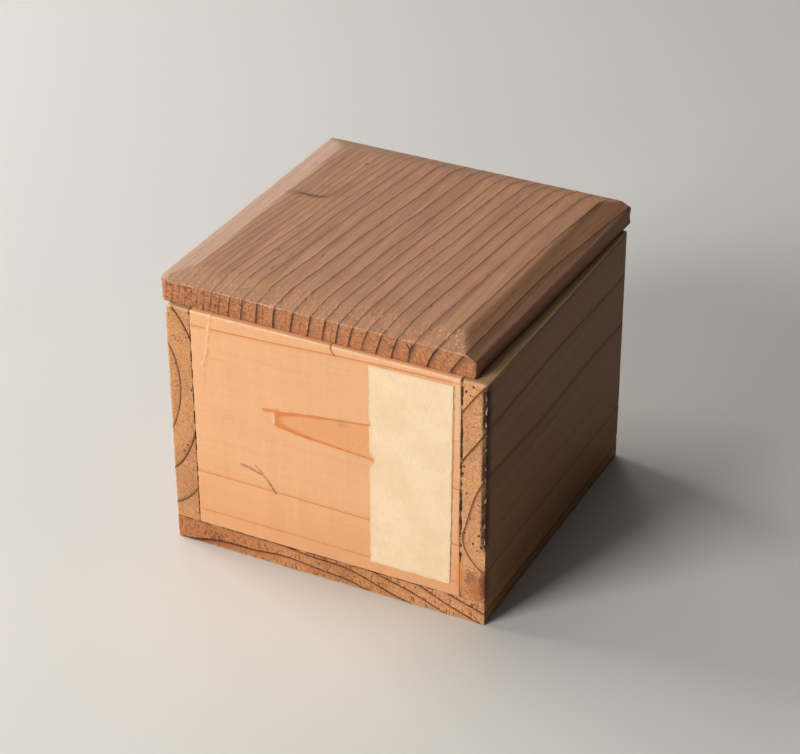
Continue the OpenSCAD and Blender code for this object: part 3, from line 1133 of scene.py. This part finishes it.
# %% Lid board
LID_CREASE = 0.3
CORNER_ROUND = 3.6
CORNER_TIP = 3.0
LID_TOP_RELIEF = 0.035
LID_ARRIS_REACH = 0.5
LID_ARRISES = (("-x", "+z"), ("-y", "+z"), ("+y", "+z"), ("-x", "-y"), ("-x", "+y"))
SPECKLED_END, SPECKLED_SLOPE = (-44, -24), (-40, -15)
FUZZY_RIGHT = (28, 36)
LID_WEAR = Wear(
    "-x +x -y +y +z", 0.3, (0.45, 1.6, 0.7), 60, 0.06,
    knocks=(
        ((LID_LOW[0], LID_LOW[1], 80.5), 3.0, 1.0),
        ((LID_HIGH[0], LID_LOW[1], 85.0), 2.2, 0.8),
        ((LID_LOW[0], LID_HIGH[1], 83.0), 3.0, 1.0),
        ((LID_HIGH[0], LID_HIGH[1], 84.0), 3.0, 1.0),
    ),
)


def make_lid():
    log, wear = LOGS["lid_board"], LID_WEAR
    flat, faces = block_surface(LID_LOW, LID_HIGH, wear.cells)
    rounded, outward = soften(flat, LID_LOW, LID_HIGH, edge_radius(flat, LID_LOW, LID_HIGH, wear))
    points, plan = (cut_corner(lean_with_sides(spots), CORNER_ROUND) for spots in (rounded, flat))
    heights = lid_heights(plan)
    top = heights["field"]
    for side in ("left", "right", "front", "back"):
        top = soft_minimum(top, heights[side], LID_CREASE)
    share = (points[:, 2] - LID_LOW[2]) / (LID_HIGH[2] - LID_LOW[2])
    points[:, 2] = LID_LOW[2] + share * (top - LID_LOW[2])
    on_top = (flat[:, 2] > LID_HIGH[2] - HAIR).astype(float)
    upward = on_top * (outward[:, 2] > 0.5)
    end = end_mark(outward, log.grain)
    slope = on_top * np.maximum(lies_on(heights, "front"), lies_on(heights, "back"))
    speckled = 0.9 * end * (1 - rise(plan[:, 0], *SPECKLED_END))
    speckled += 0.6 * slope * (1 - end) * (1 - rise(plan[:, 0], *SPECKLED_SLOPE))
    rubbed = 0.2 + 0.5 * rise(ripple(points, 0.25, wear.seed + 3), -0.1, 0.3)
    # The front left corner of the top is paled, partly as wear and partly as a painted highlight of the sheen
    # on that corner.
    tip_highlight = on_top * decay(np.sum((flat[:, :2] - LID_LOW[:2]) ** 2, axis=1) / CORNER_TIP ** 2)
    sink = hollows(points, 0.05, wear.seed + 2)
    sink += (wear.relief * end + LID_TOP_RELIEF * upward) * (1 - late_ridge(log, points))
    values = {
        "end_grain": np.maximum(end, 0.15 * slope),
        "fuzz": slope * (1 + rise(plan[:, 0], *FUZZY_RIGHT)),
        # Painted shade on the lid's right-facing end.
        "grime": rise(outward[:, 0], 0.6, 0.95),
        # Rubbed places: the left bevel and the speckled places. On the bevel the greying is partly a painted
        # sheen.
        "polish": np.maximum(on_top * lies_on(heights, "left"), speckled),
        "arris": np.maximum(tip_highlight, rubbed * edge_mark(flat, LID_LOW, LID_HIGH, LID_ARRISES, LID_ARRIS_REACH)),
        "inner": inner_mark(outward, wear.faces()[1]),
    }
    piece = mesh_piece("lid_timber", points - outward * sink[:, None], faces, WOODS["lid_board"], values)
    dress(piece, "lid_board", "lid")
    return piece


lid = make_lid()
print(lid.name, len(lid.data.polygons), "faces")

# %% [markdown]
# ## The pegs and the splinters
# The boards are held by thin wooden pegs, driven in and cut off flush. On the torn arris of the right wall,
# thin splinters still stand. Both are one small stick many times over, so one Geometry Nodes tree makes
# them: a point for each stick, a stick on each point, a chance turn about its own length and, for the
# splinters, a chance tilt.

# %% Wood of the sticks
def stick_wood(name, dark, light):
    finish = Finish(name)
    x, y, z = finish.millimetres()
    fibre = finish.noise(finish.vector(x, y, z), 4.0, 3.0, 0.6)
    finish.output("Base Color", finish.blend(rise(fibre, 0.3, 0.7), opaque(dark), opaque(light)))
    finish.output("Roughness", 0.5 + 0.25 * fibre)
    finish.output("Normal", finish.bump(fibre, 0.05))
    return finish.material


PEG_WOOD = stick_wood("peg_wood", (0.11, 0.05, 0.022), (0.26, 0.13, 0.06))
SPLINTER_WOOD = stick_wood("splinter_wood", (0.50, 0.27, 0.12), (0.82, 0.54, 0.31))
print("stick finishes:", PEG_WOOD.name, SPLINTER_WOOD.name)

# %% Stick tree
STICK_SIDES = 14


def stick_tree(name, material):
    """A node tree that stands a stick on each point of a mesh."""
    tree = bpy.data.node_groups.new(name, "GeometryNodeTree")
    sockets = tree.interface
    sockets.new_socket("Geometry", in_out="INPUT", socket_type="NodeSocketGeometry")
    for size in ("Radius", "Tip", "Length", "Tilt"):
        sockets.new_socket(size, in_out="INPUT", socket_type="NodeSocketFloat")
    sockets.new_socket("Direction", in_out="INPUT", socket_type="NodeSocketVector")
    sockets.new_socket("Seed", in_out="INPUT", socket_type="NodeSocketInt")
    sockets.new_socket("Geometry", in_out="OUTPUT", socket_type="NodeSocketGeometry")

    def add(kind, settings=None, filled=None):
        """A node with its settings; its sockets are filled with values or with other nodes' outputs."""
        node = tree.nodes.new(kind)
        for key, value in (settings or {}).items():
            setattr(node, key, value)
        for key, value in (filled or {}).items():
            if isinstance(value, bpy.types.NodeSocket):
                tree.links.new(value, node.inputs[key])
            else:
                node.inputs[key].default_value = value
        return node.outputs

    given = add("NodeGroupInput")
    shape = {"Radius Bottom": given["Radius"], "Radius Top": given["Tip"], "Depth": given["Length"]}
    stick = add("GeometryNodeMeshCone", {"fill_type": "NGON"}, {"Vertices": STICK_SIDES, **shape})
    aim = add("FunctionNodeAlignRotationToVector", {"axis": "Z"}, {"Vector": given["Direction"]})
    limits = add("ShaderNodeCombineXYZ", None, {"X": given["Tilt"], "Y": given["Tilt"], "Z": math.pi})
    opposite = add("ShaderNodeVectorMath", {"operation": "SCALE"}, {"Vector": limits[0], "Scale": -1})
    span = {"Min": opposite[0], "Max": limits[0], "Seed": given["Seed"]}
    chance = add("FunctionNodeRandomValue", {"data_type": "FLOAT_VECTOR"}, span)
    spin = add("FunctionNodeEulerToRotation", None, {"Euler": chance["Value"]})
    turned = {"Rotation": aim[0], "Rotate By": spin[0]}
    turn = add("FunctionNodeRotateRotation", {"rotation_space": "LOCAL"}, turned)
    placed = {"Points": given["Geometry"], "Instance": stick["Mesh"], "Rotation": turn[0]}
    sticks = add("GeometryNodeInstanceOnPoints", None, placed)
    real = add("GeometryNodeRealizeInstances", None, {"Geometry": sticks[0]})
    paint = add("GeometryNodeSetMaterial", None, {"Geometry": real[0], "Material": material})
    add("NodeGroupOutput", None, {"Geometry": paint[0]})
    return tree


PEG_TREE = stick_tree("pegs", PEG_WOOD)
print("nodes in the tree:", len(PEG_TREE.nodes))

# %% Pegs
PEG_SHY = 0.005


def grow(name, points, tree, settings):
    """Runs a node tree on loose points and keeps the result as a plain mesh object."""
    seedbed = bpy.data.meshes.new(name + "_points")
    seedbed.from_pydata(points, [], [])
    source = bpy.data.objects.new(name + "_source", seedbed)
    bpy.context.scene.collection.objects.link(source)
    modifier = source.modifiers.new("nodes", "NODES")
    modifier.node_group = tree
    for item in tree.interface.items_tree:
        if item.in_out == "INPUT" and item.name in settings:
            modifier[item.identifier] = settings[item.name]
    source.update_tag()
    depsgraph = bpy.context.evaluated_depsgraph_get()
    mesh = bpy.data.meshes.new_from_object(source.evaluated_get(depsgraph))
    bpy.data.objects.remove(source)
    piece = bpy.data.objects.new(name, mesh)
    bpy.context.scene.collection.objects.link(piece)
    return piece


def make_pegs(node, body, seed):
    """Two pegs. The shortest side of their box is a peg's width, the longest their spacing."""
    low, high = (np.array(corner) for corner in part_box(node))
    width, length, spacing = np.argsort(high - low)
    radius = float((high - low)[width] / 2)
    start = (low + high) / 2
    start[length] = low[length] + PEG_SHY * MM
    points = []
    for end in (low[spacing] + radius, high[spacing] - radius):
        start[spacing] = end
        points.append(start.tolist())
    direction = [0.0, 0.0, 0.0]
    direction[length] = 1.0
    reach = float((high - low)[length] - 2 * PEG_SHY * MM)
    settings = {"Radius": radius, "Tip": radius, "Length": reach, "Tilt": 0.0}
    settings.update({"Direction": direction, "Seed": seed})
    piece = grow(node + "_sticks", points, PEG_TREE, settings)
    dress(piece, node, body)
    return piece


peg_pieces = []
for body, members in BODIES.items():
    for node in members:
        if node.endswith("_pegs"):
            peg_pieces.append(make_pegs(node, body, len(peg_pieces)))
print("peg groups:", len(peg_pieces))

# %% Splinters
SPLINTER_HEIGHTS = (27.5, 33.0, 41.5, 48.0, 52.0, 58.5, 63.0, 66.2, 70.0, 70.6, 74.3)
SPLINTER_INSET = 0.55
SPLINTER_SINK = 0.55
SPLINTER = {
    "Radius": 0.26 * MM, "Tip": 0.03 * MM, "Length": 1.6 * MM,
    "Tilt": 0.25, "Direction": [0.1, 0.0, 1.0], "Seed": 11,
}


def make_splinters():
    """Thin slivers that still stand in the notches of the right wall's torn arris."""
    low, high = corners("right_wall")
    x, y = high[0] - SPLINTER_INSET, low[1] + SPLINTER_SINK
    points = [(x * MM, y * MM, height * MM) for height in SPLINTER_HEIGHTS]
    piece = grow("wall_splinters", points, stick_tree("splinters", SPLINTER_WOOD), SPLINTER)
    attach(piece, "box")
    return piece


splinters = make_splinters()
print(splinters.name, len(splinters.data.polygons), "faces")

# %% [markdown]
# ## The paper label
# A strip of old paper is glued to the front. It is cut by hand, so its edges wander and one side is
# nibbled; here and there it has come away from the wood by the thickness of a hair. It is made as a thin
# closed sheet, ruled finely enough to hold those edges.

# %% Paper
PAPER_PALE, PAPER_AGED = opaque((0.97, 0.76, 0.52)), opaque((0.90, 0.675, 0.44))
PAPER_FIBRE, PAPER_SPECK = opaque((0.76, 0.55, 0.33)), opaque((0.42, 0.27, 0.13))
PAPER_RIM = opaque((0.70, 0.52, 0.30))
PAPER_STAIN = (0.62, 0.36, 0.16)
LABEL_STAINS = (
    Stain((18.4, -49.1, 77.2), (2.6, 2.0, 1.0), 0.5, PAPER_STAIN),
    Stain((15.0, -49.1, 46.0), (1.2, 2.0, 2.4), 0.4, PAPER_STAIN),
)


def paper():
    finish = Finish("aged_paper")
    x, y, z = finish.millimetres()
    whole = finish.vector(x, y, z)
    clouds = finish.noise(whole, 0.09, 4.0, 0.6)
    fibres = finish.noise(finish.vector(x, y, z * 0.35), 2.6, 3.0, 0.65)
    specks = finish.noise(whole, 1.7, 2.0, 0.5)
    rim = finish.attribute("arris")
    colour = finish.blend(rise(clouds, 0.3, 0.75), PAPER_PALE, PAPER_AGED)
    colour = finish.blend(rise(fibres, 0.4, 0.75) * 0.35, colour, PAPER_FIBRE)
    colour = finish.blend(rise(specks, 0.7, 0.78) * 0.5, colour, PAPER_SPECK)
    colour = finish.blend(rim * 0.3, colour, PAPER_RIM)
    for stain in LABEL_STAINS:
        colour = stained(finish, colour, stain, (x, y, z), specks)
    finish.output("Base Color", colour)
    finish.output("Roughness", 0.75 + 0.15 * fibres)
    finish.output("Normal", finish.bump(fibres + clouds, 0.06))
    return finish.material


AGED_PAPER = paper()
print("finish of the label:", AGED_PAPER.name)

# %% Label
LABEL_CELLS = (0.7, 1.0, 0.5)
LABEL_EDGE = 3.0
LABEL_RIM = 1.2
LABEL_NIBBLE = 0.3
LABEL_TAPER = 0.7
LABEL_TEARS = ((57.7, 0.7, 0.7), (45.6, 1.6, 1.4))
LABEL_LIFT = 0.1
LABEL_LIFT_REACH = 2.5
LABEL_BACK_LIFT = 0.8
LABEL_SHEET = 0.07


def make_label():
    low, high = corners("paper_label")
    points, faces = block_surface(low, high, LABEL_CELLS)
    flat = points.copy()
    sheet = flat * [1, 0, 1]
    nibble = LABEL_NIBBLE * (0.5 + 0.5 * ripple(sheet, 0.35, 80) + np.clip(ripple(sheet, 0.9, 81), 0, 1))
    tears = sum(depth * decay(((flat[:, 2] - height) / reach) ** 2) for height, reach, depth in LABEL_TEARS)
    taper = LABEL_TAPER * (high[2] - flat[:, 2]) / (high[2] - low[2])
    from_left, from_right = flat[:, 0] - low[0], high[0] - flat[:, 0]
    from_foot, from_top = flat[:, 2] - low[2], high[2] - flat[:, 2]
    rim = np.min([from_left, from_right, from_foot, from_top], axis=0)
    points[:, 0] += (1 - rise(from_left, 0.0, LABEL_EDGE)) * (nibble + tears)
    points[:, 0] -= (1 - rise(from_right, 0.0, LABEL_EDGE)) * (nibble + taper)
    points[:, 2] += (1 - rise(from_foot, 0.0, LABEL_EDGE)) * nibble
    points[:, 2] -= (1 - rise(from_top, 0.0, LABEL_EDGE)) * nibble
    wall = high[1]
    lift = LABEL_LIFT * (0.5 + 0.5 * ripple(sheet, 0.1, 82)) * rise(-rim, -LABEL_LIFT_REACH, 0.0)
    front = flat[:, 1] < wall
    points[:, 1] = np.where(front, wall - LABEL_SHEET - lift, wall - lift * LABEL_BACK_LIFT)
    values = {"arris": 1 - rise(rim, 0.0, LABEL_RIM)}
    piece = mesh_piece("label_paper", points, faces, AGED_PAPER, values)
    dress(piece, "paper_label", "box")
    return piece


label = make_label()
print(label.name, len(label.data.polygons), "faces")

# %% [markdown]
# ## Floor and light
# The box stands on a plain pale floor. A broad soft lamp at the front left lights the panel most, as in the
# picture. A low one behind on the left puts the sheen on the bevel, one at the left and one overhead light
# the top, and the pale surroundings fill the shadows a little. A single sun would be simpler, but its
# shadows are too hard for a room.

# %% Floor
FLOOR_SIZE = 6.0
FLOOR_GREY, FLOOR_PALE = opaque((0.70, 0.69, 0.67)), opaque((0.76, 0.75, 0.73))


def make_floor():
    finish = Finish("pale_floor")
    x, y, z = finish.millimetres()
    cloud = finish.noise(finish.vector(x, y, z), 0.004, 3.0, 0.5)
    finish.output("Base Color", finish.blend(cloud, FLOOR_GREY, FLOOR_PALE))
    finish.output("Roughness", 0.7 + 0.1 * cloud)
    half = FLOOR_SIZE / 2
    mesh = bpy.data.meshes.new("floor")
    spots = [(-half, -half, 0), (half, -half, 0), (half, half, 0), (-half, half, 0)]
    mesh.from_pydata(spots, [], [(0, 1, 2, 3)])
    mesh.materials.append(finish.material)
    floor = bpy.data.objects.new("floor", mesh)
    bpy.context.scene.collection.objects.link(floor)
    return floor


floor = make_floor()
print(floor.name, FLOOR_SIZE, "m wide")

# %% Lamps
LAMP_AIM = Vector((0, 0, 0.04))
DAYLIGHT, WARM_DAYLIGHT = (1.0, 0.98, 0.95), (1.0, 0.96, 0.90)


def add_lamp(name, place, size, power, colour):
    data = bpy.data.lights.new(name, "AREA")
    data.shape = "SQUARE"
    data.size = size
    data.energy = power
    data.color = colour
    lamp = bpy.data.objects.new(name, data)
    lamp.location = place
    lamp.rotation_euler = (LAMP_AIM - Vector(place)).to_track_quat("-Z", "Y").to_euler()
    bpy.context.scene.collection.objects.link(lamp)
    return lamp


add_lamp("front_left_window", (-0.47, -0.93, 0.57), 0.5, 11.0, WARM_DAYLIGHT)
add_lamp("back_left_strip", (-0.80, 0.99, 0.24), 0.35, 2.6, DAYLIGHT)
add_lamp("left_window", (-0.95, 0.05, 0.60), 0.6, 6.8, DAYLIGHT)
add_lamp("overhead_panel", (-0.30, 0.25, 1.15), 0.7, 2.2, DAYLIGHT)

# %% Surroundings
FILL_STRENGTH = 0.05
world = bpy.data.worlds.new("surroundings")
world.use_nodes = True
surroundings = world.node_tree.nodes["Background"]
surroundings.inputs["Color"].default_value = opaque(DAYLIGHT)
surroundings.inputs["Strength"].default_value = FILL_STRENGTH
bpy.context.scene.world = world
bpy.context.scene.view_settings.view_transform = "Standard"
print("surroundings at", FILL_STRENGTH)

# %% [markdown]
